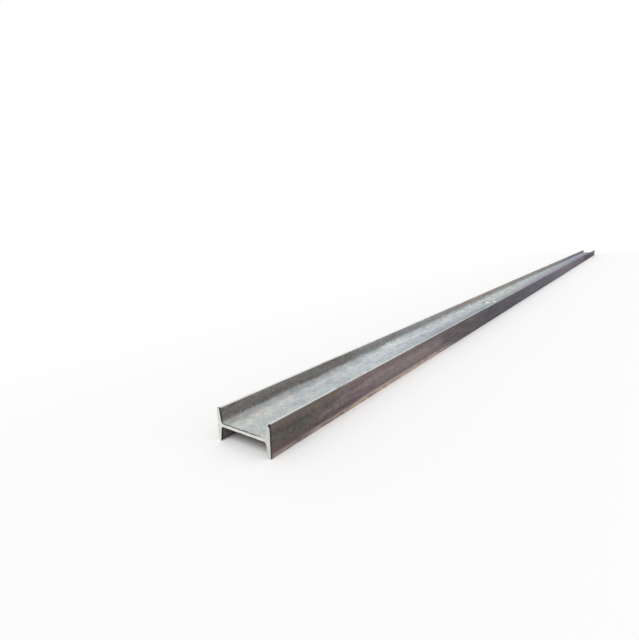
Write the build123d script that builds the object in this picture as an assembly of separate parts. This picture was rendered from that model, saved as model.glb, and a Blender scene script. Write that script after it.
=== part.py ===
"""A hot-rolled steel beam with an H-shaped section, one piece of long stock.

It lies the way it is stored: the web is level and the flanges stand upright
at its two sides, resting on their lower edges.
X runs along the beam, Y across it from flange to flange, and Z up.
The origin is on the floor, under the middle of the beam.
"""

import os
from math import radians, tan

from build123d import *

# Sizes of the stock, in millimetres
length = 12000.0
depth = 250.0  # between the outer faces of the flanges
flange_width = 125.0
web_thickness = 7.5
flange_thickness = 12.5  # half way between the web and the flange's edge

# The rolls leave the flanges thicker at the web than at their edges
flange_slope = 8.0  # degrees, of the flange's inner face
root_radius = 12.0  # where the web meets a flange
toe_radius = 6.0  # inner corner of a flange's edge
edge_radius = 1.5  # outer corner of a flange's edge


def rounded(face, corner, radius):
    """The face with one of its corners rounded."""
    nearest = face.vertices().sort_by_distance(corner)[0]
    return fillet(nearest, radius)


def quarter_section():
    """One quarter of the section: half a flange with half of the web beside it.

    Its first axis runs from the middle of the web out to the flange, its second
    one from the middle of the web up to the flange's edge.
    """
    half_depth = depth / 2
    half_width = flange_width / 2
    half_web = web_thickness / 2

    # The overhang is the part of the flange above the web, and the flange's
    # thickness is measured half way up it
    overhang = half_width - half_web
    taper = overhang * tan(radians(flange_slope))
    thickness_at_edge = flange_thickness - taper / 2
    thickness_at_web = flange_thickness + taper / 2

    outer_corner = (half_depth, half_width)
    toe_corner = (half_depth - thickness_at_edge, half_width)
    root_corner = (half_depth - thickness_at_web, half_web)
    outline = Polyline(
        (0, 0),
        (half_depth, 0),
        outer_corner,
        toe_corner,
        root_corner,
        (0, half_web),
        close=True,
    )
    quarter = make_face(outline)

    # The toe's round may take up the edge's width, but not the outer corner's
    corner_angle = 90 + flange_slope
    room_for_toe = (thickness_at_edge - edge_radius) * tan(radians(corner_angle / 2))
    quarter = rounded(quarter, root_corner, root_radius)
    quarter = rounded(quarter, toe_corner, min(toe_radius, room_for_toe))
    quarter = rounded(quarter, outer_corner, edge_radius)
    return quarter


def beam_section():
    """The whole H, mirrored to the other flange and then to the web's other side."""
    quarter = quarter_section()
    half = quarter + mirror(quarter, about=Plane.YZ)
    return half + mirror(half, about=Plane.XZ)


def h_beam():
    """The section carried along the length, both ends sawn square."""
    section = Plane.YZ * beam_section()
    beam = extrude(section, amount=length / 2, both=True)
    return Pos(0, 0, flange_width / 2) * beam


os.makedirs("parts", exist_ok=True)
beam = h_beam()
beam.label = "h_beam"
export_step(beam, "parts/h_beam.step")

area = beam_section().area
print(f"section {area / 100:.2f} cm2, beam {beam.volume / 1e9:.5f} m3")
print(f"size {beam.bounding_box().size}")
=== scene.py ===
# %% [markdown]
# # A rolled steel beam, from its section to its rust
#
# The object is one length of building steel. Its section looks like a letter H: a level
# web joins two upright flanges, and each flange is thicker beside the web than at its
# edges. A mill rolls it red hot out of one bloom, and a saw cuts it to twelve metres. So
# it is one piece. A plain block with a picture of steel on it could stand for it, but the
# fillets, the worn edges and the sawn ends are what the eye reads as rolled steel, so here
# it is a swept surface, and all of its colour comes from patterns.
#
# The frame that is loaded first holds the beam as the engineer drew it. X runs along the
# beam, Y across it, Z up, and the floor is at zero.

# %% Load the fixed frame
from math import cos, pi, radians, sin, tan

import bpy
import numpy as np
from mathutils import Matrix, Vector


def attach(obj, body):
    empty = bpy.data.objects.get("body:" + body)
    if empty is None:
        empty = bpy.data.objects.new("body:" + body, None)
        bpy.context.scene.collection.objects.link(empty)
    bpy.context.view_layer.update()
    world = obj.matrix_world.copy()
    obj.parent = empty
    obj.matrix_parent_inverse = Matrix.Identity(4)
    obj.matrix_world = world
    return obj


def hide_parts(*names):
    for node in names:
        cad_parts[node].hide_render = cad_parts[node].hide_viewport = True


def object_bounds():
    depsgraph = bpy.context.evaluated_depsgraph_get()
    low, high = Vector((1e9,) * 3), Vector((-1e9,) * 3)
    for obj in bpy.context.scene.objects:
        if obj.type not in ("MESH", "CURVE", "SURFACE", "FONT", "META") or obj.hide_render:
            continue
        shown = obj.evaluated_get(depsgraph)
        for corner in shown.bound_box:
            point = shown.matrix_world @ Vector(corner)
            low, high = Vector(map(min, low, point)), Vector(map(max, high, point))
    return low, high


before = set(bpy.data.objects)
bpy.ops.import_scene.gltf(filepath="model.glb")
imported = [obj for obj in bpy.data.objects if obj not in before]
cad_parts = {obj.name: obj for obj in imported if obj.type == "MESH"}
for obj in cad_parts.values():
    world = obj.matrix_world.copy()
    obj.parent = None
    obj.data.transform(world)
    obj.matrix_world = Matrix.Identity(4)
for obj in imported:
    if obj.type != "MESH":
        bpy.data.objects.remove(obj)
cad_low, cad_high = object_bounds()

half_length = cad_high.x
print("beam", [round(v, 4) for v in cad_high - cad_low], "m")

# %% [markdown]
# ## The camera
#
# The picture was taken with a wide lens, about a metre before the sawn end and a metre
# beside the beam, at the height of a table. The directions of the long edges and the four
# corners of the near end give its place: where the edges meet tells where the lens points,
# and the size of the end tells how far away it stands. A camera could be aimed at a target
# by eye, but three angles worked out from the edges repeat the view exactly.

# %% Set the camera
focal_length = 24.0            # mm
sensor_width = 36.0            # mm
turned_left = radians(36.745)  # from the direction of the beam
tipped_down = radians(11.429)
rolled_right = radians(1.589)
camera_place = Vector((-half_length - 0.9176, -1.0250, 0.7190))

ahead = Vector((cos(turned_left) * cos(tipped_down), sin(turned_left) * cos(tipped_down),
                -sin(tipped_down)))
level_right = Vector((sin(turned_left), -cos(turned_left), 0.0))
level_up = level_right.cross(ahead)
right = level_right * cos(rolled_right) - level_up * sin(rolled_right)
up = right.cross(ahead)
camera_axes = Matrix((right, up, -ahead)).transposed()

camera_data = bpy.data.cameras.new("camera")
camera_data.lens = focal_length
camera_data.sensor_width = sensor_width
camera_data.clip_start = 0.05
camera_data.clip_end = 500.0
camera = bpy.data.objects.new("camera", camera_data)
camera.matrix_world = Matrix.Translation(camera_place) @ camera_axes.to_4x4()
bpy.context.scene.collection.objects.link(camera)
bpy.context.scene.camera = camera
bpy.context.scene.view_settings.view_transform = "Standard"
print("camera", [round(v, 3) for v in camera_place], "lens", focal_length, "mm")

# %% [markdown]
# ## Small tools for materials
#
# Every finish below is a pile of patterns, each with a size in metres. A shader's nodes
# could be set out by hand in the node editor, but a script repeats them exactly. Four
# helpers keep it short: one adds any node and feeds it, one does a sum, one turns a
# measure into a soft-edged mask, and one lays a colour over another. Colours are written
# as a screen shows them, from 0 to 255.

# %% Helpers that add nodes
def node(tree, kind, feeds=None, **options):
    """Add one node. Options are its settings, feeds its inputs, as sockets or values."""
    made = tree.nodes.new("ShaderNode" + kind)
    for name, value in options.items():
        setattr(made, name, value)
    for name, value in (feeds or {}).items():
        if isinstance(value, bpy.types.NodeSocket):
            tree.links.new(value, made.inputs[name])
        else:
            made.inputs[name].default_value = value
    return made


def sums(tree, operation, first, second=0.0):
    """One sum on one or two numbers: SQRT, ADD, MULTIPLY, MAXIMUM and so on."""
    return node(tree, "Math", {0: first, 1: second}, operation=operation).outputs[0]


def mask(tree, value, none, full, most=1.0):
    """0 where value is none, most where it is full, with an S-shaped rise between."""
    feeds = {"Value": value, "From Min": none, "From Max": full, "To Min": 0.0, "To Max": most}
    return node(tree, "MapRange", feeds, interpolation_type="SMOOTHSTEP").outputs[0]


def lay(tree, share, under, over, how="MIX"):
    """Colour over laid on colour under, in the share that share gives."""
    feeds = {0: share, 6: under, 7: over}
    return node(tree, "Mix", feeds, data_type="RGBA", blend_type=how).outputs[2]


def tone(red, green, blue):
    """A colour for a shader from screen values of 0 to 255.

    A screen value c stands for the light ((c + 0.055) / 1.055) to the power 2.4."""
    light = ((np.array([red, green, blue]) / 255.0 + 0.055) / 1.055) ** 2.4
    return (*light.tolist(), 1.0)


def material(name):
    """A new material with one Principled shader. Returns it, its tree and that shader."""
    made = bpy.data.materials.new(name)
    made.use_nodes = True
    tree = made.node_tree
    tree.nodes.clear()
    shader = node(tree, "BsdfPrincipled")
    output = node(tree, "OutputMaterial", {"Surface": shader.outputs[0]})
    output.name = "output"
    return made, tree, shader


white = (1.0, 1.0, 1.0, 1.0)
print("a mid grey of 128 is", round(tone(128, 128, 128)[0], 3), "of white's light")

# %% [markdown]
# ## Light and background
#
# The beam lay under an open, hazy sky, with most light from above and from behind the
# camera: the sawn end and all that faces up are bright, and the sides are in soft shade.
# Twelve metres of beam would need a very long row of area lamps to be lit evenly, so a
# sun lamp with a wide disc gives the soft key and the world gives the fill. Together they
# come to about 1 on a level surface, so that a colour renders about as it is written.
# What the camera and reflections see of the world is plain white.

# %% Light the studio
fill_level = 0.60
key_level = 0.42               # what the key adds on a level surface
key_width = radians(38)        # of its disc in the sky
towards_key = Vector((-0.60, -0.05, 0.80)).normalized()

key_data = bpy.data.lights.new("key", "SUN")
key_data.energy = key_level * pi / towards_key.z
key_data.angle = key_width
key = bpy.data.objects.new("key", key_data)
key.rotation_euler = towards_key.to_track_quat("Z", "Y").to_euler()
bpy.context.scene.collection.objects.link(key)

world = bpy.data.worlds.new("studio")
bpy.context.scene.world = world
world.use_nodes = True
sky = world.node_tree
sky.nodes.clear()


def seen_directly(tree):
    """1 for rays from the camera or a shiny or clear surface, 0 for those that gather light."""
    path = node(tree, "LightPath")
    shiny = sums(tree, "MAXIMUM", path.outputs["Is Glossy Ray"], path.outputs["Is Transmission Ray"])
    return sums(tree, "MAXIMUM", path.outputs["Is Camera Ray"], shiny)


fill = node(sky, "Background", {"Color": white, "Strength": fill_level})
backdrop = node(sky, "Background", {"Color": white, "Strength": 1.0})
feeds = {0: seen_directly(sky), 1: fill.outputs[0], 2: backdrop.outputs[0]}
node(sky, "OutputWorld", {"Surface": node(sky, "MixShader", feeds).outputs[0]})
print("light on a level surface", fill_level + key_level)

# %% [markdown]
# ## The floor
#
# A plain pale floor carries the beam and takes its shadow. A studio has a paper sweep
# that curves up behind. With a white world a flat sheet does the same, if it turns plain
# white further out. Close to the beam it stays a real surface, so that the shadow is there.

# %% Lay the floor
floor_reach = 90.0             # m
floor_drop = 0.0004            # m below the beam's edges, so that the two never coincide
paper_within = 0.5             # m from the beam
white_beyond = 2.2             # m from the beam

floor_square = np.array([[-1.0, -1.0], [1.0, -1.0], [1.0, 1.0], [-1.0, 1.0]]) * floor_reach
floor_points = np.column_stack([floor_square, np.full(4, -floor_drop)])
floor_mesh = bpy.data.meshes.new("floor")
floor_mesh.from_pydata(floor_points.tolist(), [], [(0, 1, 2, 3)])
floor = bpy.data.objects.new("floor", floor_mesh)
bpy.context.scene.collection.objects.link(floor)

paper, tree, shader = material("paper")
shader.inputs["Base Color"].default_value = (0.95, 0.95, 0.947, 1.0)
shader.inputs["Roughness"].default_value = 0.9
shader.inputs["Specular IOR Level"].default_value = 0.0
floor_at = node(tree, "SeparateXYZ", {0: node(tree, "TexCoord").outputs["Object"]})
past_end = sums(tree, "SUBTRACT", sums(tree, "ABSOLUTE", floor_at.outputs[0]), half_length)
past_end = sums(tree, "MAXIMUM", past_end, 0.0)
past_squared = sums(tree, "POWER", past_end, 2.0)
aside_squared = sums(tree, "POWER", floor_at.outputs[1], 2.0)
from_beam = sums(tree, "SQRT", sums(tree, "ADD", past_squared, aside_squared))
turned_white = mask(tree, from_beam, paper_within, white_beyond)
turned_white = sums(tree, "MULTIPLY", turned_white, seen_directly(tree))
plain_white = node(tree, "Emission", {"Color": white, "Strength": 1.0})
feeds = {0: turned_white, 1: shader.outputs[0], 2: plain_white.outputs[0]}
tree.links.new(node(tree, "MixShader", feeds).outputs[0], tree.nodes["output"].inputs["Surface"])
floor_mesh.materials.append(paper)
print("floor", 2 * floor_reach, "m wide")

# %% [markdown]
# ## The section
#
# A rolled flange is not of even thickness: it thins by 8 degrees towards its edges, so
# that the rolls can let go of it. The corner where it meets the web is a hollow of 12 mm,
# its edge is rounded by 6 mm inside and is nearly sharp outside. The section could be
# extruded with its corners sharp and bevelled afterwards, but three different radii need
# three different bevels. It is worked out exactly instead: twelve corners, each replaced
# by an arc of its own radius.

# %% The twelve corners of the H
depth = 0.250                  # m, over both flanges
flange_width = 0.125
web_thickness = 0.0075
flange_thickness = 0.0125      # half way between the web and the flange's edge
flange_slope = radians(8)
root_radius = 0.012
toe_radius = 0.006
edge_radius = 0.0015


def section_corners():
    """The corners as (y, z) about the middle of the web, anticlockwise, and their radii.

    Half of the overhang times the slope's tangent is what the flange gains towards the
    web and loses towards its edge. The other three quarters are the first one mirrored."""
    gain = (flange_width - web_thickness) / 4 * tan(flange_slope)
    quarter = np.array([
        [depth / 2, flange_width / 2],
        [depth / 2 - flange_thickness + gain, flange_width / 2],
        [depth / 2 - flange_thickness - gain, web_thickness / 2],
    ])
    radii = np.array([edge_radius, toe_radius, root_radius])
    turned = quarter[::-1]
    around = [quarter * (1, 1), turned * (-1, 1), quarter * (-1, -1), turned * (1, -1)]
    return np.concatenate(around), np.concatenate([radii, radii[::-1], radii, radii[::-1]])


corners, radii = section_corners()
print("flange", *np.round(1000 * (depth / 2 - corners[1:3, 0]), 2), "mm thick at edge and web")

# %% [markdown]
# ## Rounding the corners
#
# The rolls leave no sharp corner on the steel. A curve through a few points could round
# one, but an arc that touches both sides is what a section is listed with. Its middle
# lies on the line that halves the corner. Turning one radius into the other in equal
# steps gives the points, in the same way for a hollow corner and a full one.

# %% Arcs in place of corners
arc_steps = 6


def unit(vectors):
    """Each vector divided by its own length."""
    return vectors / np.linalg.norm(vectors, axis=-1, keepdims=True)


def round_corners(corners, radii, steps):
    """Points along an outline whose corners are arcs.

    With a and b the unit vectors from a corner to its neighbours and h half the angle
    between them, the arc's middle is the corner plus radius / sin(h) along a + b, and it
    touches the sides radius / tan(h) away from the corner. At the share t of the arc,
    whose whole turn is w = pi - 2 h, the radius vector is
    (sin((1 - t) w) first + sin(t w) last) / sin(w)."""
    a = unit(np.roll(corners, 1, axis=0) - corners)
    b = unit(np.roll(corners, -1, axis=0) - corners)
    h = np.arccos(np.sum(a * b, axis=1)) / 2
    middle = corners + unit(a + b) * (radii / np.sin(h))[:, None]
    first = corners + a * (radii / np.tan(h))[:, None] - middle
    last = corners + b * (radii / np.tan(h))[:, None] - middle
    t = np.linspace(0.0, 1.0, steps + 1)[None, :, None]
    w = (pi - 2 * h)[:, None, None]
    turned = (np.sin((1 - t) * w) * first[:, None] + np.sin(t * w) * last[:, None]) / np.sin(w)
    return (middle[:, None] + turned).reshape(-1, 2)


rounded = round_corners(corners, radii, arc_steps)
print(len(rounded), "points in", len(corners), "arcs")

# %% [markdown]
# ## Points along the flats
#
# The real flats are slightly wavy, and a surface can only bend where it has points.
# Subdividing the mesh would put too many everywhere, so only the long flats are split,
# into equal parts. The outline starts under the middle of the web, where the map of the
# surface is cut later.

# %% Split the flats and measure the outline
longest_step = 0.0135          # m between two points of the outline


def fill_flats(points, longest):
    """Split each side of a closed outline into the fewest equal parts under longest."""
    side = np.roll(points, -1, axis=0) - points
    parts = np.ceil(np.linalg.norm(side, axis=1) / longest).astype(int)
    start = np.repeat(np.cumsum(parts) - parts, parts)
    share = (np.arange(parts.sum()) - start) / np.repeat(parts, parts)
    return np.repeat(points, parts, axis=0) + share[:, None] * np.repeat(side, parts, axis=0)


outline = fill_flats(rounded, longest_step)
under_web = np.argmin(np.hypot(outline[:, 0], outline[:, 1] + web_thickness / 2))
outline = np.roll(outline, -under_web, axis=0)
following, previous = np.roll(outline, -1, axis=0), np.roll(outline, 1, axis=0)
along = unit(following - previous)
outward = np.column_stack([along[:, 1], -along[:, 0]])
side_lengths = np.linalg.norm(following - outline, axis=1)
around = np.concatenate([[0.0], np.cumsum(side_lengths)])
way_around = around[:-1]
area = np.sum(outline[:, 0] * following[:, 1] - following[:, 0] * outline[:, 1]) / 2
print(len(outline), "points,", round(around[-1], 4), "m around,", round(area * 1e4, 2), "cm2")

# %% [markdown]
# ## Stations along the beam
#
# The path is a straight line of twelve metres, so all the care goes into where the
# section is repeated. The ends are looked at closely and carry the finest marks, so the
# steps are about 2 mm there and grow to about 28 mm in the middle. A blend of a sine and
# a straight line does that smoothly. A few extra stations shape the last millimetres.

# %% Where the section is repeated
station_count = 640
even_share = 0.12
end_steps = np.array([0.0, 0.0002, 0.0009, 0.0017, 0.0026, 0.0042])
clear_of_end = end_steps[-1] + 0.001


def stations(count):
    """Places along x from one sawn end to the other.

    With s going evenly from -1 to 1, x = half length * ((1 - e) sin(pi s / 2) + e s),
    where e is even_share. The nearest station to each whole metre is put exactly on it,
    which makes the step beside it longer by up to a half."""
    s = np.linspace(-1.0, 1.0, count)
    x = half_length * ((1 - even_share) * np.sin(pi * s / 2) + even_share * s)
    x = x[np.abs(x) < half_length - clear_of_end]
    x = np.concatenate([end_steps - half_length, x, half_length - end_steps[::-1]])
    metres = np.arange(1 - round(half_length), round(half_length))
    x[np.abs(x[:, None] - metres).argmin(axis=0)] = metres
    return x


station = stations(station_count)
from_end = half_length - np.abs(station)
print(len(station), "stations, steps of", round(1000 * np.diff(station).max(), 1), "mm at most")

# %% [markdown]
# ## What the mill leaves on the shape
#
# A rolled beam is never quite flat: the web waves by half a millimetre, and the flanges'
# edges wander a little more, because nothing rolls them from the side. Sculpting could do
# this by hand, but along twelve metres it is simpler as sums of waves, each a product of
# one wave along the beam and one across or around it. The relief is how far each point
# lies outside the drawn section, and it is added up from here on.

# %% Waves of the web and the flanges
rng = np.random.default_rng(41)
wave_count = 12
web_wave = 0.0006              # m
flange_wave = 0.0003
edge_wander = 0.0005
inwards = 0.8                  # keeps most of the wander inside the drawn section
web_half = 0.100               # m, about half of the web's flat width
edge_band = 0.012              # m from a flange's edge, where it wanders


def waves(x, y, lengths, widths):
    """The sum of sine waves over x and y, one for each length and width in metres.

    Each is sin(2 pi x / length + phase) * cos(2 pi y / width + phase), and the sum is
    divided by the root of their number, so that it stays near 1."""
    phases = rng.uniform(0, 2 * pi, (2, len(lengths)))
    along_x = np.sin(2 * pi * x[:, None] / lengths + phases[0])
    across = np.cos(2 * pi * y[:, None] / widths + phases[1])
    return along_x @ across.T / np.sqrt(len(lengths))


on_web = np.clip(1.1 - np.abs(outline[:, 0]) / web_half, 0.0, 1.0) ** 0.5
near_edge = np.clip(1 - (flange_width / 2 - np.abs(outline[:, 1])) / edge_band, 0.0, 1.0) ** 2
bend = waves(station, outline[:, 0], rng.uniform(0.4, 2.6, wave_count),
             rng.uniform(0.2, 0.8, wave_count))
lean = waves(station, way_around, rng.uniform(0.5, 3.0, wave_count),
             around[-1] / rng.integers(1, 4, wave_count))
wander = waves(station, way_around, rng.uniform(0.1, 1.2, wave_count),
               around[-1] / rng.integers(1, 3, wave_count))
relief = web_wave * bend * on_web * outward[:, 1]
relief = relief + flange_wave * lean * (1 - on_web) * outward[:, 0]
relief = relief + edge_wander * near_edge * (wander - inwards)
print("waves from", *np.round(1000 * np.array([relief.min(), relief.max()]), 2), "mm")

# %% [markdown]
# ## What the crane leaves on the shape
#
# Slings and knocks nick the flanges' edges, up to a millimetre deep. Each nick could be
# cut with a small body, but a hundred cuts are slow and leave poor faces. Here each one is
# a dent with the shape of a bell, along the beam and around the section. The same bells
# tell the colours later where an edge is worn.

# %% Nick the edges
nicks_per_metre = 9
deepest_nick = 0.0012          # m
nick_lengths = (0.004, 0.013)  # m along the beam, least and most
nick_widths = (0.0025, 0.006)  # m around the section, least and most
off_line = 0.0015              # m, how far a nick lies off the edge's line as a rule
on_line = 1e-6                 # m, close enough to count as lying on the edge's line
shortest = 1.1                 # steps between stations, or the mesh couldn't show a nick
depth_draw = (1.3, 3.0)        # of a beta draw, which makes most nicks shallow


def nicks(x, around):
    """Dents in the flanges' edges, and how strongly each place is worn by them.

    A dent is depth * exp(-((x - x0) / long)^2) * exp(-((u - u0) / wide)^2), with u the
    way around the section. All are added at once as a product of two tables of bells."""
    tips = around[np.abs(np.abs(outline[:, 1]) - flange_width / 2) < on_line]
    count = int(2 * half_length * nicks_per_metre)
    at = rng.uniform(-half_length, half_length, count)
    long = rng.uniform(*nick_lengths, count)
    long = np.maximum(long, shortest * np.interp(at, x, np.gradient(x)))
    depths = deepest_nick * rng.beta(*depth_draw, count)
    u0 = rng.choice(tips, count) + rng.normal(0.0, off_line, count)
    wide = rng.uniform(*nick_widths, count)
    bells_x = np.exp(-((x[:, None] - at) / long) ** 2)
    bells_u = np.exp(-((around[:, None] - u0) / wide) ** 2)
    return (bells_x * depths) @ bells_u.T, np.clip(bells_x @ bells_u.T, 0.0, 1.0)


dent, worn = nicks(station, way_around)
relief = relief - dent
print("nicks up to", round(1000 * dent.max(), 2), "mm deep")

# %% [markdown]
# ## What the saw leaves on the shape
#
# The saw smears the last two millimetres outwards into a ragged burr, which makes the
# ends look thicker than the beam is, and takes off the last sharp fifth of a millimetre.
# At the near end the burr is missing in three places of the right flange, and the upper
# corner is chipped there. A bevel would be far too even, so the burr is a steep bell
# towards the end times a ragged wave around the section.

# %% Drag out the burr and chip the corner
arris = 0.0002                 # m that is taken off the corner of the end
burr = 0.0014                  # m, most that the saw drags the metal outwards
burr_length = 0.0020
no_burr = [((-0.125, 0.120), 0.010), ((-0.125, 0.061), 0.009), ((-0.125, 0.018), 0.026)]
chip = (-0.125, 0.1185)        # y and z of the chipped corner at the near end
chip_depth = 0.0022
chip_length = 0.005            # m along the beam
chip_size = 0.006              # m around the section


def bell_around(place, size):
    """exp(-(distance / size)^2) for each point of the outline, from a place in y and z."""
    y, z = outline[:, 0] - place[0], outline[:, 1] + flange_width / 2 - place[1]
    return np.exp(-(y ** 2 + z ** 2) / size ** 2)


chamfer = np.clip(1 - from_end / arris, 0.0, 1.0)
dragged = np.exp(-(from_end / burr_length) ** 2)
ragged = waves(station, way_around, np.full(5, 50.0), around[-1] / rng.integers(12, 60, 5))
ragged = np.clip(0.75 + 0.30 * ragged, 0.2, 1.2)
near_end = (station < 0)[:, None]
for place, size in no_burr:
    ragged = ragged * (1 - near_end * bell_around(place, size))
relief = relief + burr * dragged[:, None] * ragged - arris * chamfer[:, None]
chipped = near_end * np.exp(-(from_end[:, None] / chip_length) ** 2) * bell_around(chip, chip_size)
relief = relief - chip_depth * chipped
print("relief from", *np.round(1000 * np.array([relief.min(), relief.max()]), 2), "mm")

# %% [markdown]
# ## The swept surface
#
# Every point is the section's point, moved along its own outward direction by the relief,
# at a station along X. That is a grid of stations by points, computed as whole arrays.
# Neighbouring rows are joined by four-sided faces, and the first and the last row close
# the ends with one face each, so the beam is a solid that could be weighed. How worn each
# point is by the nicks goes along as an attribute, for the colours to use.

# %% Carry the section along the beam
sharp_from = radians(32)       # between two faces


def swept_grid(x, outline, outward, relief):
    """Points (x, y, z) with (y, z) = outline + relief * outward, lifted onto the floor."""
    moved = outline[None] + relief[:, :, None] * outward[None]
    height = np.maximum(moved[:, :, 1] + flange_width / 2, 0.0)
    return np.stack([np.broadcast_to(x[:, None], height.shape), moved[:, :, 0], height], axis=-1)


def swept_faces(rows, columns):
    """Quads that join each row of a closed grid to the next, turned outwards."""
    i, j = np.meshgrid(np.arange(rows - 1), np.arange(columns), indexing="ij")
    beside = (j + 1) % columns
    row, next_row = i * columns, (i + 1) * columns
    around_quad = [row + j, row + beside, next_row + beside, next_row + j]
    return np.stack(around_quad, axis=-1).reshape(-1, 4)


points = swept_grid(station, outline, outward, relief)
rows, columns = points.shape[:2]
quads = swept_faces(rows, columns)
near_cap = np.arange(columns)[::-1]
far_cap = (rows - 1) * columns + np.arange(columns)
faces = quads.tolist() + [near_cap.tolist(), far_cap.tolist()]

beam_mesh = bpy.data.meshes.new("rolled_beam")
beam_mesh.from_pydata(points.reshape(-1, 3).tolist(), [], faces)
beam_mesh.polygons.foreach_set("use_smooth", np.ones(len(faces), bool))
beam_mesh.set_sharp_from_angle(angle=sharp_from)
beam = bpy.data.objects.new("rolled_beam", beam_mesh)
bpy.context.scene.collection.objects.link(beam)
wear = beam_mesh.attributes.new("wear", "FLOAT", "POINT")
wear.data.foreach_set("value", worn.ravel().astype(np.float32))
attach(beam, "root")
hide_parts("h_beam")
print(2 * len(quads) + 2 * (columns - 2), "triangles")

# %% [markdown]
# ## A map of the surface
#
# When the colours are stored as a picture, twelve metres in one strip would leave very
# few rows of pixels. The skin is cut like sheet metal instead: twelve lengths of one
# metre, each unrolled flat, are laid in three columns of four, and both sawn ends go in
# the column that is left, enlarged. The cut around the section is under the web.

# %% Unroll the skin
sheet_side = 4.08              # m of the laid-out square
sheet_columns = 3
gutter = 0.02                  # m between two lengths
cap_scale = 3.2
near_cap_level = 0.6           # m up the square
far_cap_level = 1.4


def skin_map(quads, columns):
    """The place in the square of each corner of each quad.

    Along the sheet it is x minus the whole metre below it, up the sheet the way around
    the section, and both get the offset of the length's own cell."""
    row, column = quads // columns, quads % columns
    first_row = row.min(axis=1, keepdims=True)
    metre = np.floor((station[first_row] + station[first_row + 1]) / 2 + half_length).astype(int)
    u = station[row] + half_length - metre
    wraps = (column == 0) & (column.max(axis=1, keepdims=True) == columns - 1)
    v = np.where(wraps, around[-1], around[column])
    cell_u = (metre % sheet_columns) * (1.0 + gutter) + gutter
    cell_v = (metre // sheet_columns) * (around[-1] + gutter * 2) + gutter
    return np.stack([u + cell_u, v + cell_v], axis=-1)


def cap_map(cap, columns, level):
    """The flat outline of a sawn end, enlarged, standing in the last column."""
    flat = outline[cap % columns] * cap_scale
    return flat + (sheet_columns * (1.0 + gutter) + gutter + depth / 2 * cap_scale, level)


skin_uv = skin_map(quads, columns).reshape(-1, 2)
near_uv = cap_map(near_cap, columns, near_cap_level)
far_uv = cap_map(far_cap, columns, far_cap_level)
uv = np.concatenate([skin_uv, near_uv, far_uv]) / sheet_side
layer = beam_mesh.uv_layers.new(name="OFBake")
layer.uv.foreach_set("vector", uv.ravel().astype(np.float32))
print("map fills", np.round(uv.min(axis=0), 3), np.round(uv.max(axis=0), 3))

# %% [markdown]
# ## The rolled skin: finding its parts
#
# The skin of a rolled beam is mill scale, a thin blue-grey oxide. How it looks depends on
# which way it faces: dust lies on what faces up, the flanges' edges are rubbed bright, and
# the flanges' outer faces have a film of rust. Those parts could be separate
# materials on separate faces, but their borders would be hard lines. Masks made from the
# place and the direction of each spot give soft borders, so one material does it all.

# %% Masks for the parts of the skin
def ready(part):
    """Say that a part of the material in hand is done, and how many nodes it has now."""
    print(part, "ready:", len(tree.nodes), "nodes")


skin, tree, shader = material("rolled_skin")
where = node(tree, "TexCoord")
x_at, y_at, z_at = node(tree, "SeparateXYZ", {0: where.outputs["Object"]}).outputs
facing_up = node(tree, "SeparateXYZ", {0: where.outputs["Normal"]}).outputs[2]
web_level = flange_width / 2
from_near_end = sums(tree, "ADD", x_at, half_length)
to_end = sums(tree, "SUBTRACT", half_length, sums(tree, "ABSOLUTE", x_at))
aside = sums(tree, "ABSOLUTE", y_at)
outer_face = mask(tree, aside, depth / 2 - 0.0024, depth / 2 - 0.0010)
inside = mask(tree, aside, depth / 2 - 0.003, depth / 2 - 0.006)
above_web = mask(tree, z_at, web_level, web_level + 0.003)
ready("masks")

# %% [markdown]
# ## Clouds, stretches and tints
#
# Steel that lay in the rain has no even colour. Its blots could be painted by hand, but
# twelve metres of them would take days. Noise does it, in clouds of a chosen size, most
# of them longer along the beam than across, because the rolls and the water ran that
# way. These helpers work on whichever material is in hand, so they aren't told its tree.

# %% Helpers for patterns
def cloud(size, shift=0.0, detail=3.0, rough=0.55):
    """Noise whose blots measure size metres along x, y and z. shift moves it elsewhere."""
    scale = tuple(1.0 / s for s in size)
    moved = (shift, shift * 0.37, shift * 0.71)
    feeds = {"Vector": where.outputs["Object"], "Location": moved, "Scale": scale}
    placed = node(tree, "Mapping", feeds).outputs[0]
    feeds = {"Vector": placed, "Scale": 1.0, "Detail": detail, "Roughness": rough}
    return node(tree, "TexNoise", feeds).outputs["Fac"]


def both(*shares):
    """The product of several masks."""
    product = shares[0]
    for share in shares[1:]:
        product = sums(tree, "MULTIPLY", product, share)
    return product


def either(first, second):
    """The larger of two masks."""
    return sums(tree, "MAXIMUM", first, second)


def by_metre(none, full, most=1.0):
    """A mask over the distance from the near end: 0 at none metres, most at full."""
    return mask(tree, from_near_end, none, full, most)


def stretch(first, last, soft):
    """1 between two distances from the near end, in metres, with soft metres of fading."""
    return both(by_metre(first - soft, first + soft), by_metre(last + soft, last - soft))


def shade(colour, share, factors):
    """Colour times three factors, one each for red, green and blue, in a share."""
    return lay(tree, share, colour, (*factors, 1.0), "MULTIPLY")


def vary(colour, pattern, span, lighter, darker):
    """Colour times lighter where the pattern is span over a half, darker where span under."""
    over = mask(tree, pattern, 0.5, 0.5 + span)
    under = mask(tree, pattern, 0.5, 0.5 - span)
    return shade(shade(colour, over, lighter), under, darker)


print("helpers for patterns ready")

# %% [markdown]
# ## Colours that change along the beam
#
# The beam shows other tones near and far. A colour ramp could hold them, but its borders
# would be straight lines across the steel. So each tone gives way to the next at a border
# that a cloud pushes to and fro by up to a quarter of a metre.

# %% A row of tones
border = cloud((0.30, 0.045, 0.045), 5.0, 4.0, 0.6)
ragged_way = sums(tree, "ADD", from_near_end, mask(tree, border, 0.25, 0.75, 0.5))
ragged_way = sums(tree, "SUBTRACT", ragged_way, 0.25)


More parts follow.
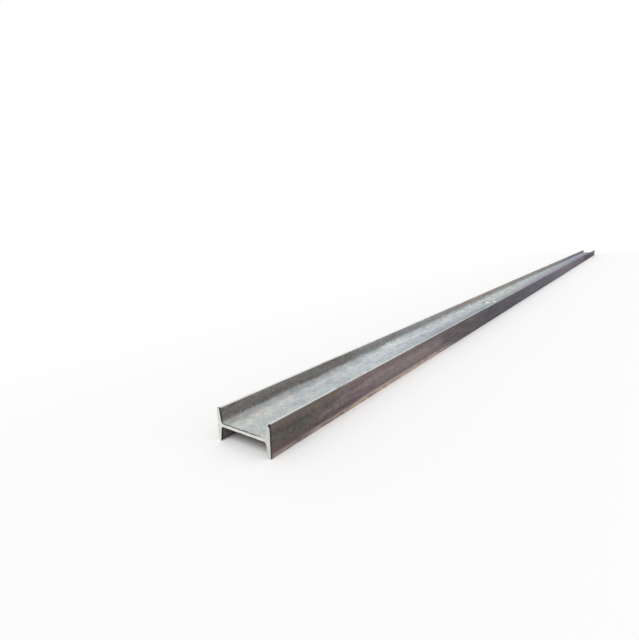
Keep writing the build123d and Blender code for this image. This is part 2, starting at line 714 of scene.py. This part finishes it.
def along_beam(tones):
    """A colour that changes along the beam.

    tones is a list of (metres from the near end, screen values). Each colour gives way to
    the next around the next one's place, at a border that a cloud makes ragged."""
    colour = tone(*tones[0][1])
    for metres, following in tones[1:]:
        soft = 0.10 + 0.12 * metres
        passed = mask(tree, ragged_way, metres - soft, metres + soft)
        colour = lay(tree, passed, colour, tone(*following))
    return colour


ready("ragged borders")

# %% [markdown]
# ## Mill scale: its tones along the beam
#
# Over metres the oxide drifts between olive, mauve and slate, depending on how the beam
# cooled and on where rain has begun to rust it. One colour with strong noise would look
# the same everywhere, so the outer and the inner faces each get a row of named tones that
# blend into each other. On the outer face the upper part has a row of its own, the lower
# third is darker for a metre with painted shade, and a plum-coloured band lies low down
# beside the end.

# %% Tones of the scale
outer_tones = [(0.0, (88, 85, 80)), (0.13, (97, 91, 88)), (0.32, (114, 103, 105)),
               (0.52, (136, 125, 128)), (1.5, (91, 86, 90)), (2.3, (78, 79, 86)),
               (3.6, (87, 87, 96)), (5.2, (100, 97, 108)), (9.0, (58, 53, 64))]
upper_tones = [(0.0, (106, 99, 92)), (0.35, (120, 108, 107)), (1.3, (104, 96, 97))]
inner_tones = [(0.0, (108, 103, 101)), (0.14, (133, 131, 127)), (0.9, (157, 158, 156)),
               (1.5, (166, 166, 165)), (2.3, (174, 161, 158)), (3.4, (171, 167, 162)),
               (8.5, (142, 146, 157))]
plum = tone(101, 88, 88)

upper_part = both(mask(tree, z_at, 0.080, 0.112), by_metre(1.9, 1.2))
outer_colour = lay(tree, upper_part, along_beam(outer_tones), along_beam(upper_tones))
# Painted shade: the lower third of the outer face is darker for a metre.
shaded_lower_third = both(mask(tree, z_at, 0.050, 0.034), stretch(0.4, 1.55, 0.2))
outer_colour = shade(outer_colour, shaded_lower_third, (0.80, 0.79, 0.80))
plum_band = both(mask(tree, z_at, 0.050, 0.036), by_metre(0.50, 0.25, 0.8))
outer_colour = lay(tree, plum_band, outer_colour, plum)
ready("tones of the scale")

# %% [markdown]
# ## Mill scale: bands, stripes and grit
#
# The rolls have drawn the oxide out into long faint bands and stripes, and close up it is
# gritty and speckled. A wood or wave texture would repeat too evenly, so each of them is
# a cloud of its own size: stretched ones for bands and stripes, rounder ones for grit and
# speckle, and one in faint tints. Each lightens and darkens what is there already.

# %% Vary the scale
tints = cloud((0.12, 0.035, 0.035), 19.0, 4.0, 0.6)
stripes = cloud((0.18, 0.006, 0.006), 11.0, 4.0, 0.65)
bands = cloud((0.8, 0.030, 0.030), 17.0, 3.0)
grit = cloud((0.030, 0.018, 0.018), 13.0, 7.0, 0.72)
speckle = cloud((0.012, 0.008, 0.008), 67.0, 3.0, 0.6)

outer_colour = vary(outer_colour, tints, 0.14, (1.05, 1.00, 0.94), (1.02, 0.94, 0.98))
scale_colour = lay(tree, outer_face, along_beam(inner_tones), outer_colour)
scale_colour = vary(scale_colour, tints, 0.14, (1.00, 1.01, 0.98), (1.02, 0.98, 1.00))
scale_colour = vary(scale_colour, bands, 0.14, (1.13, 1.12, 1.12), (0.88, 0.89, 0.90))
scale_colour = vary(scale_colour, stripes, 0.16, (1.14, 1.12, 1.11), (0.86, 0.87, 0.89))
scale_colour = vary(scale_colour, grit, 0.16, (1.21, 1.19, 1.17), (0.80, 0.82, 0.84))
scale_colour = vary(scale_colour, speckle, 0.13, (1.21, 1.20, 1.18), (0.79, 0.80, 0.82))
ready("scale colours")

# %% [markdown]
# ## Rust: film, stains and blotches
#
# Rain has started to rust the beam: a thin mauve film in patches, brown stains that lie
# along it, and broad mauve blotches on the outer faces from about five metres on. It
# could be painted by hand along the beam, but clouds cut off at a level give the same
# ragged borders anywhere, and the place of each kind comes from the masks.

# %% Lay the rust on
film_colour = tone(138, 118, 117)
stain_colour = tone(118, 88, 72)
blotch_colour = tone(134, 108, 118)

film = mask(tree, cloud((0.20, 0.035, 0.035), 23.0, 6.0, 0.65), 0.50, 0.68, 0.40)
film = both(film, by_metre(0.05, 0.5))
rusty = lay(tree, film, scale_colour, film_colour)
stains = mask(tree, cloud((0.10, 0.018, 0.018), 31.0, 6.0, 0.68), 0.55, 0.72, 0.45)
rusty = lay(tree, stains, rusty, stain_colour)
blotches = mask(tree, cloud((0.80, 0.070, 0.070), 33.0, 3.0, 0.5), 0.48, 0.62, 0.60)
blotches = both(blotches, outer_face, by_metre(4.6, 6.0))
rusty = lay(tree, blotches, rusty, blotch_colour)
ready("rust")

# %% [markdown]
# ## Rust: the sandy foot
#
# Water hangs on the lower edge of each outer face. Over the first metre and a half it has
# left a pale sandy foot that climbs a little, with peach drips in it. A gradient up the
# face would end in a straight line, so the foot is a soft step in height that an uneven
# cloud breaks up, and the drips are a finer cloud, cut off higher.

# %% Lay the foot and its drips
foot_colour = tone(206, 188, 176)
drip_colour = tone(226, 186, 156)
foot_climb = 0.006             # m, most that the foot climbs

wet_stretch = both(outer_face, stretch(0.0, 1.70, 0.35))
uneven = mask(tree, cloud((0.10, 0.016, 0.016), 37.0, 6.0, 0.68), 0.27, 0.58)
climbs = sums(tree, "MULTIPLY", stretch(0.5, 1.5, 0.15), foot_climb)
foot_height = sums(tree, "SUBTRACT", z_at, climbs)
foot = both(mask(tree, foot_height, 0.024, 0.008, 0.74), wet_stretch, uneven)
rusty = lay(tree, foot, rusty, foot_colour)
drips = both(mask(tree, z_at, 0.015, 0.006), wet_stretch, stretch(0.42, 1.45, 0.2))
drips = both(drips, mask(tree, cloud((0.05, 0.010, 0.010), 39.0, 5.0, 0.65), 0.46, 0.62, 0.9))
rusty = lay(tree, drips, rusty, drip_colour)
ready("foot")

# %% [markdown]
# ## Dust: pale where dry, slate where wet
#
# The web lies like a tray, and pale dust has settled on it. It is the brightest thing on
# the beam after the sawn ends. Where water has stood, in pools and in blots, the
# blue-grey scale shows through, and to the right of the middle the web is darker in the
# same colour. A second layer of mesh would be too thick for dust, so it is a colour only.
# It too changes along the beam: greener after two and a half metres, and greyer towards
# the far end.

# %% Colours of the dust
dust_tones = [(0.0, (194, 199, 197)), (0.30, (197, 203, 204)), (0.9, (208, 214, 215)),
              (1.6, (202, 207, 209)), (2.7, (203, 210, 205)), (4.5, (190, 195, 199)),
              (6.3, (180, 183, 191)), (9.2, (171, 175, 187))]
wet_tones = [(0.0, (168, 174, 175)), (0.5, (163, 171, 176)), (1.6, (148, 155, 161)),
             (4.5, (140, 144, 153)), (8.0, (122, 125, 135))]

dust_colour = along_beam(dust_tones)
wet_colour = along_beam(wet_tones)
blots = mask(tree, cloud((0.060, 0.035, 0.035), 43.0, 6.0, 0.60), 0.44, 0.66, 0.45)
pools = mask(tree, cloud((0.16, 0.06, 0.06), 47.0, 5.0), 0.48, 0.62, 0.4)
right_share = sums(tree, "ADD", by_metre(0.8, 1.5, 0.50), 0.30)
# The web is darker to the right of the middle, more so from about a metre in.
darker_right = both(mask(tree, y_at, 0.070, -0.020), right_share)
darker_right = both(darker_right, mask(tree, cloud((0.30, 0.04, 0.04), 49.0, 4.0), 0.10, 0.42))
dusty = lay(tree, either(pools, darker_right), dust_colour, wet_colour)
dusty = lay(tree, blots, dusty, wet_colour)
ready("dust colours")

# %% [markdown]
# ## Dust: what wind made of it, and painted shade beside the flanges
#
# Close to the sawn end the dust has a warm patch to the left and a pale corner to the
# right, and along both sides of the web, beside the flanges, shade is painted darker for
# the first metre. From there on wind has piled the dust up beside the flanges and drawn it
# into drifts. These are single marks, so each has its own mask. The grain of the dust
# comes last, as clouds again: cottony, gritty, speckled and with a faint change of hue.

# %% Patches, heaps and grain of the dust
warm_colour = tone(207, 206, 192)
warm_middle = 0.050            # m, y of the warm patch
corner_shade_colour = tone(122, 116, 110)
heaped_colour = tone(226, 232, 230)
pale_grey = tone(212, 210, 202)

from_warm = sums(tree, "ABSOLUTE", sums(tree, "SUBTRACT", y_at, warm_middle))
warm = both(stretch(0.035, 0.17, 0.035), mask(tree, from_warm, 0.040, 0.008),
            mask(tree, blots, 0.4, 0.1, 0.6))
dusty = lay(tree, warm, dusty, warm_colour)
# Painted shade: the web is darker beside both flanges for the first metre.
corner_shade = both(mask(tree, aside, 0.058, 0.100, 0.40), by_metre(1.2, 0.5))
dusty = lay(tree, corner_shade, dusty, corner_shade_colour)
heaped = both(mask(tree, aside, 0.070, 0.106, 0.35), stretch(1.6, 7.0, 0.9))
dusty = lay(tree, heaped, dusty, heaped_colour)
corner_edge = sums(tree, "ADD", y_at, mask(tree, grit, 0.3, 0.7, 0.03))
pale_corner = both(mask(tree, corner_edge, -0.035, -0.075), by_metre(0.13, 0.03))
dusty = lay(tree, pale_corner, dusty, pale_grey)

cottony = cloud((0.050, 0.032, 0.032), 51.0, 7.0, 0.62)
dusty = vary(dusty, cottony, 0.12, (1.10, 1.09, 1.07), (0.91, 0.92, 0.95))
drifts = mask(tree, cloud((0.22, 0.040, 0.040), 57.0, 4.0, 0.5), 0.50, 0.40)
dusty = shade(dusty, both(drifts, by_metre(0.8, 1.6)), (0.90, 0.91, 0.93))
dusty = vary(dusty, grit, 0.16, (1.12, 1.11, 1.10), (0.88, 0.89, 0.91))
dusty = vary(dusty, speckle, 0.13, (1.08, 1.08, 1.07), (0.88, 0.89, 0.91))
hues = cloud((0.070, 0.050, 0.050), 63.0, 3.0, 0.5)
dusty = vary(dusty, hues, 0.14, (1.035, 0.985, 0.99), (0.965, 1.005, 1.005))
ready("grain of the dust")

# %% [markdown]
# ## Dust: where it lies
#
# Dust stays on what faces up: on the web, in the hollow beside each flange and on the
# flanges' edges. In the hollows it ends at a ragged tide line, a little lower close to
# the end and higher from a metre and a half in. The direction of the surface alone would
# give a line as straight as the beam, so a cloud lifts it in places. Here and there the
# steel is bare, and further along the flanges' edges are bare altogether.

# %% Lay the dust on
far_climb = 0.013              # m that the tide line is higher further in
end_drop = 0.004               # m that it is lower beside the near end
ragged_climb = 0.010           # m, most that the cloud lifts it

climb = sums(tree, "MULTIPLY", stretch(1.5, 6.0, 0.9), far_climb)
climb = sums(tree, "SUBTRACT", climb, by_metre(0.15, 0.06, end_drop))
shore = cloud((0.10, 0.040, 0.040), 69.0, 4.0, 0.6)
climb = sums(tree, "ADD", climb, mask(tree, shore, 0.3, 0.7, ragged_climb))
above_line = sums(tree, "SUBTRACT", z_at, climb)
in_hollow = both(mask(tree, above_line, web_level + 0.0125, web_level + 0.0040), inside)
settled = either(mask(tree, facing_up, 0.15, 0.85), in_hollow)
bare = mask(tree, cloud((0.020, 0.010, 0.010), 53.0, 5.0), 0.40, 0.20, 0.55)
far_edges = both(mask(tree, z_at, web_level + 0.045, web_level + 0.052), by_metre(0.9, 2.4))
bare = either(bare, far_edges)
cover = both(settled, above_web, sums(tree, "SUBTRACT", 1.0, bare))
skin_colour = lay(tree, cover, rusty, dusty)
ready("dust")

# %% [markdown]
# ## Dabs of paint, a spot and a fleck
#
# Three metres in, two dabs of white paint and a dark spot lie in a row across the web, and
# a pale fleck sits in the hollow beside the left flange, half a metre in. Small pieces of
# mesh could stand for these marks, but paint is thinner than any mesh, so they are ovals
# in the colour, at listed places, with ragged borders.

# %% Mark the skin
paint_white = tone(242, 246, 248)
spot_colour = tone(132, 134, 138)
fleck_colour = tone(186, 182, 176)
paint_dabs = [((3.045, 0.033, 0.066), (0.036, 0.018, 1.0)),
              ((3.13, -0.004, 0.066), (0.036, 0.012, 1.0))]
dark_spot = ((3.05, 0.064, 0.066), (0.050, 0.012, 1.0))
pale_fleck = ((0.437, 0.107, 0.075), (0.007, 0.010, 0.008))


def oval(place, size, pattern):
    """1 inside an oval around a place, with a border that the pattern makes ragged.

    The distance is counted in sizes: the root of the sum of ((p - place) / size)^2."""
    x0 = place[0] - half_length
    moved = (-x0 / size[0], -place[1] / size[1], -place[2] / size[2])
    scale = tuple(1 / s for s in size)
    feeds = {"Vector": where.outputs["Object"], "Location": moved, "Scale": scale}
    placed = node(tree, "Mapping", feeds).outputs[0]
    distance = node(tree, "VectorMath", {0: placed}, operation="LENGTH").outputs["Value"]
    distance = sums(tree, "ADD", distance, mask(tree, pattern, 0.3, 0.7, 0.7))
    return mask(tree, distance, 1.55, 1.15)


for place, size in paint_dabs:
    skin_colour = lay(tree, both(oval(place, size, grit), above_web), skin_colour, paint_white)
skin_colour = lay(tree, both(oval(*dark_spot, grit), above_web), skin_colour, spot_colour)
skin_colour = lay(tree, oval(*pale_fleck, grit), skin_colour, fleck_colour)
ready("marks")

# %% [markdown]
# ## Rubbed edges and painted highlights
#
# Handling rubs the scale off the flanges' edges and leaves bare steel, with gaps where it
# has rusted again. Its bright colour is partly that steel and partly a painted highlight,
# the rounded edges catching the light. It shows over the first metres, around the outer
# corner too in the first one, and wherever an edge is nicked. Further on the edges are
# dull. A shader can find edges by how pointed the mesh is, but that changes with how fine
# the mesh is, so the height and the direction of each spot tell it here.

# %% Brighten the edges
bright_steel_and_highlight = tone(226, 227, 223)

level_edge = mask(tree, facing_up, 0.25, 0.75)
on_edge = both(level_edge, mask(tree, z_at, flange_width - 0.0045, flange_width - 0.0020))
dulled = both(on_edge, by_metre(3.0, 6.0))
skin_colour = shade(skin_colour, dulled, (0.72, 0.70, 0.72))
gaps = mask(tree, cloud((0.045, 0.006, 0.006), 59.0, 4.0, 0.6), 0.32, 0.46)
gaps = either(gaps, node(tree, "Attribute", attribute_name="wear").outputs["Fac"])
over_corner = mask(tree, z_at, flange_width - 0.0062, flange_width - 0.0032)
over_corner = both(outer_face, over_corner, by_metre(1.4, 0.7, 0.68))
# Partly rubbed steel, partly a painted highlight along the edges.
rubbed_and_highlight = both(on_edge, gaps, by_metre(4.2, 1.6, 0.92))
rubbed_and_highlight = either(rubbed_and_highlight, both(over_corner, gaps))
skin_colour = lay(tree, rubbed_and_highlight, skin_colour, bright_steel_and_highlight)
ready("edges")

# %% [markdown]
# ## Painted shade behind the ends
#
# Behind each end a dark line about a centimetre wide is painted shade, as if the burr
# shaded the skin, except where the pale corner of dust covers it. The burr itself is bare
# metal, and the chipped corner of the right flange is dark. A ring of faces could carry
# each colour, but the distance to the end, made ragged by the grit, draws both lines by
# itself.

# %% Darken the ends
end_shade_colour = tone(58, 52, 47)
burr_colour = tone(214, 211, 203)
chip_colour = tone(64, 60, 53)
dark_chip = ((0.0, *chip), (0.008, 0.0048, 0.0070))

# Painted shade: a dark line behind each sawn end.
end_shade = sums(tree, "ADD", to_end, mask(tree, grit, 0.3, 0.7, 0.006))
end_shade = mask(tree, end_shade, 0.0150, 0.0095, 0.80)
end_shade = both(end_shade, sums(tree, "SUBTRACT", 1.0, both(pale_corner, cover)))
skin_colour = lay(tree, end_shade, skin_colour, end_shade_colour)
skin_colour = lay(tree, mask(tree, to_end, 0.0024, 0.0012), skin_colour, burr_colour)
skin_colour = lay(tree, oval(*dark_chip, grit), skin_colour, chip_colour)
tree.links.new(skin_colour, shader.inputs["Base Color"])
ready("skin colour")

# %% [markdown]
# ## Gloss and grain of the skin
#
# Scale is a little shiny, rust and dust are not, and rubbed steel is the smoothest. The
# grain is fine pitting and the drawn-out stripes, less than half a millimetre deep. It
# could be displaced geometry, but only its shading can be seen, so a bump is enough.

# %% Roughness and bump
def plus(total, measure, weight):
    """The total plus weight times a measure."""
    return sums(tree, "ADD", total, sums(tree, "MULTIPLY", measure, weight))


feeds = {"Value": stripes, "From Min": 0.3, "From Max": 0.7, "To Min": 0.56, "To Max": 0.70}
dull = node(tree, "MapRange", feeds).outputs[0]
dull = plus(plus(plus(dull, cover, 0.22), stains, 0.18), rubbed_and_highlight, -0.25)
tree.links.new(dull, shader.inputs["Roughness"])
shader.inputs["Specular IOR Level"].default_value = 0.12

pits = cloud((0.004, 0.0022, 0.0022), 61.0, 4.0, 0.6)
height = plus(plus(sums(tree, "MULTIPLY", pits, 0.5), stripes, 0.4), grit, 0.8)
grain = node(tree, "Bump", {"Strength": 0.6, "Distance": 0.0006, "Height": height})
tree.links.new(grain.outputs[0], shader.inputs["Normal"])
ready("skin")

# %% [markdown]
# ## The sawn ends: lines of the saw
#
# A saw wheel of more than a metre across has left bare steel with fine arcs, which are
# circles around the wheel's middle, below and beside the section. A ring texture would
# space them evenly, so the distance from that middle is fed to a noise of one dimension,
# which gives uneven lines. From here on the helpers work on this second material, so the
# names that they use are given to it.

# %% Lines of the saw
wheel_middle = (0.34, -0.62)   # m, in y and z
line_width = 0.0009            # m

sawn, tree, shader = material("sawn_face")
where = node(tree, "TexCoord")
x_at, y_at, z_at = node(tree, "SeparateXYZ", {0: where.outputs["Object"]}).outputs
off_y = sums(tree, "POWER", sums(tree, "SUBTRACT", y_at, wheel_middle[0]), 2.0)
off_z = sums(tree, "POWER", sums(tree, "SUBTRACT", z_at, wheel_middle[1]), 2.0)
from_wheel = sums(tree, "SQRT", sums(tree, "ADD", off_y, off_z))
feeds = {"W": sums(tree, "DIVIDE", from_wheel, line_width), "Scale": 1.0, "Detail": 3.0}
arcs = node(tree, "TexNoise", feeds, noise_dimensions="1D").outputs["Fac"]
print("saw lines", 1000 * line_width, "mm apart, wheel's middle at", wheel_middle)

# %% [markdown]
# ## The sawn ends: bare steel
#
# Fresh from the saw the face is silvery. Here it is slightly cream, with duller patches,
# the first breath of rust and a few specks, and at the near end the right flange is
# duller than the rest. The two end faces get this finish and all others the skin. They
# could be one material with a mask, but here the border is a real corner, so the faces
# decide it.

# %% Colour the sawn face and give out the finishes
cream = tone(215, 214, 209)
grey_steel = tone(197, 198, 198)
first_rust = tone(190, 168, 146)

tarnish = cloud((0.02, 0.030, 0.030), 71.0, 4.0, 0.6)
specks = cloud((0.004, 0.004, 0.004), 73.0, 2.0, 0.5)
end_colour = lay(tree, mask(tree, arcs, 0.35, 0.65, 0.6), cream, grey_steel)
end_colour = vary(end_colour, tarnish, 0.12, (1.07, 1.06, 1.03), (0.90, 0.90, 0.93))
end_colour = lay(tree, mask(tree, tarnish, 0.60, 0.78, 0.30), end_colour, first_rust)
end_colour = lay(tree, mask(tree, specks, 0.66, 0.74, 0.5), end_colour, first_rust)
duller = both(mask(tree, y_at, -0.095, -0.115), mask(tree, x_at, 0.0, -1.0))
end_colour = shade(end_colour, duller, (0.90, 0.88, 0.89))
end_colour = lay(tree, oval(*dark_chip, tarnish), end_colour, chip_colour)
tree.links.new(end_colour, shader.inputs["Base Color"])
shader.inputs["Roughness"].default_value = 0.55
shader.inputs["Specular IOR Level"].default_value = 0.5
grain = node(tree, "Bump", {"Strength": 0.5, "Distance": 0.0003, "Height": arcs})
tree.links.new(grain.outputs[0], shader.inputs["Normal"])

beam_mesh.materials.append(skin)
beam_mesh.materials.append(sawn)
finish_of_face = np.zeros(len(faces), np.int32)
finish_of_face[-2:] = 1        # the two ends are the last faces
beam_mesh.polygons.foreach_set("material_index", finish_of_face)
beam_mesh.update()
print("materials", [m.name for m in beam_mesh.materials])

# %% [markdown]
# ## Last checks
#
# The surface has to be closed, with its faces turned outwards, and has to keep the size
# of the engineer's beam. A viewport can colour faces by their direction for the eye to
# check, but the volume inside them tells both at once: it is right only for a closed
# surface, and positive only when the faces look out.

# %% Measure, write the sizes and finish
steel_density = 7850           # kg/m3


def end_area(row):
    """Half the sum of y * next z - next y * z around one row of points."""
    y, z = row[:, 1], row[:, 2]
    return np.sum(y * np.roll(z, -1) - np.roll(y, -1) * z) / 2


# Each triangle adds the pyramid between it and the origin, and so does each end.
triangles = np.concatenate([quads[:, [0, 1, 2]], quads[:, [0, 2, 3]]])
a, b, c = points.reshape(-1, 3)[triangles.T]
volume = np.sum(a * np.cross(b, c)) / 6
volume = volume + half_length / 3 * (end_area(points[0]) + end_area(points[-1]))
print("volume", round(volume, 5), "m3, weight", round(volume * steel_density, 1), "kg")
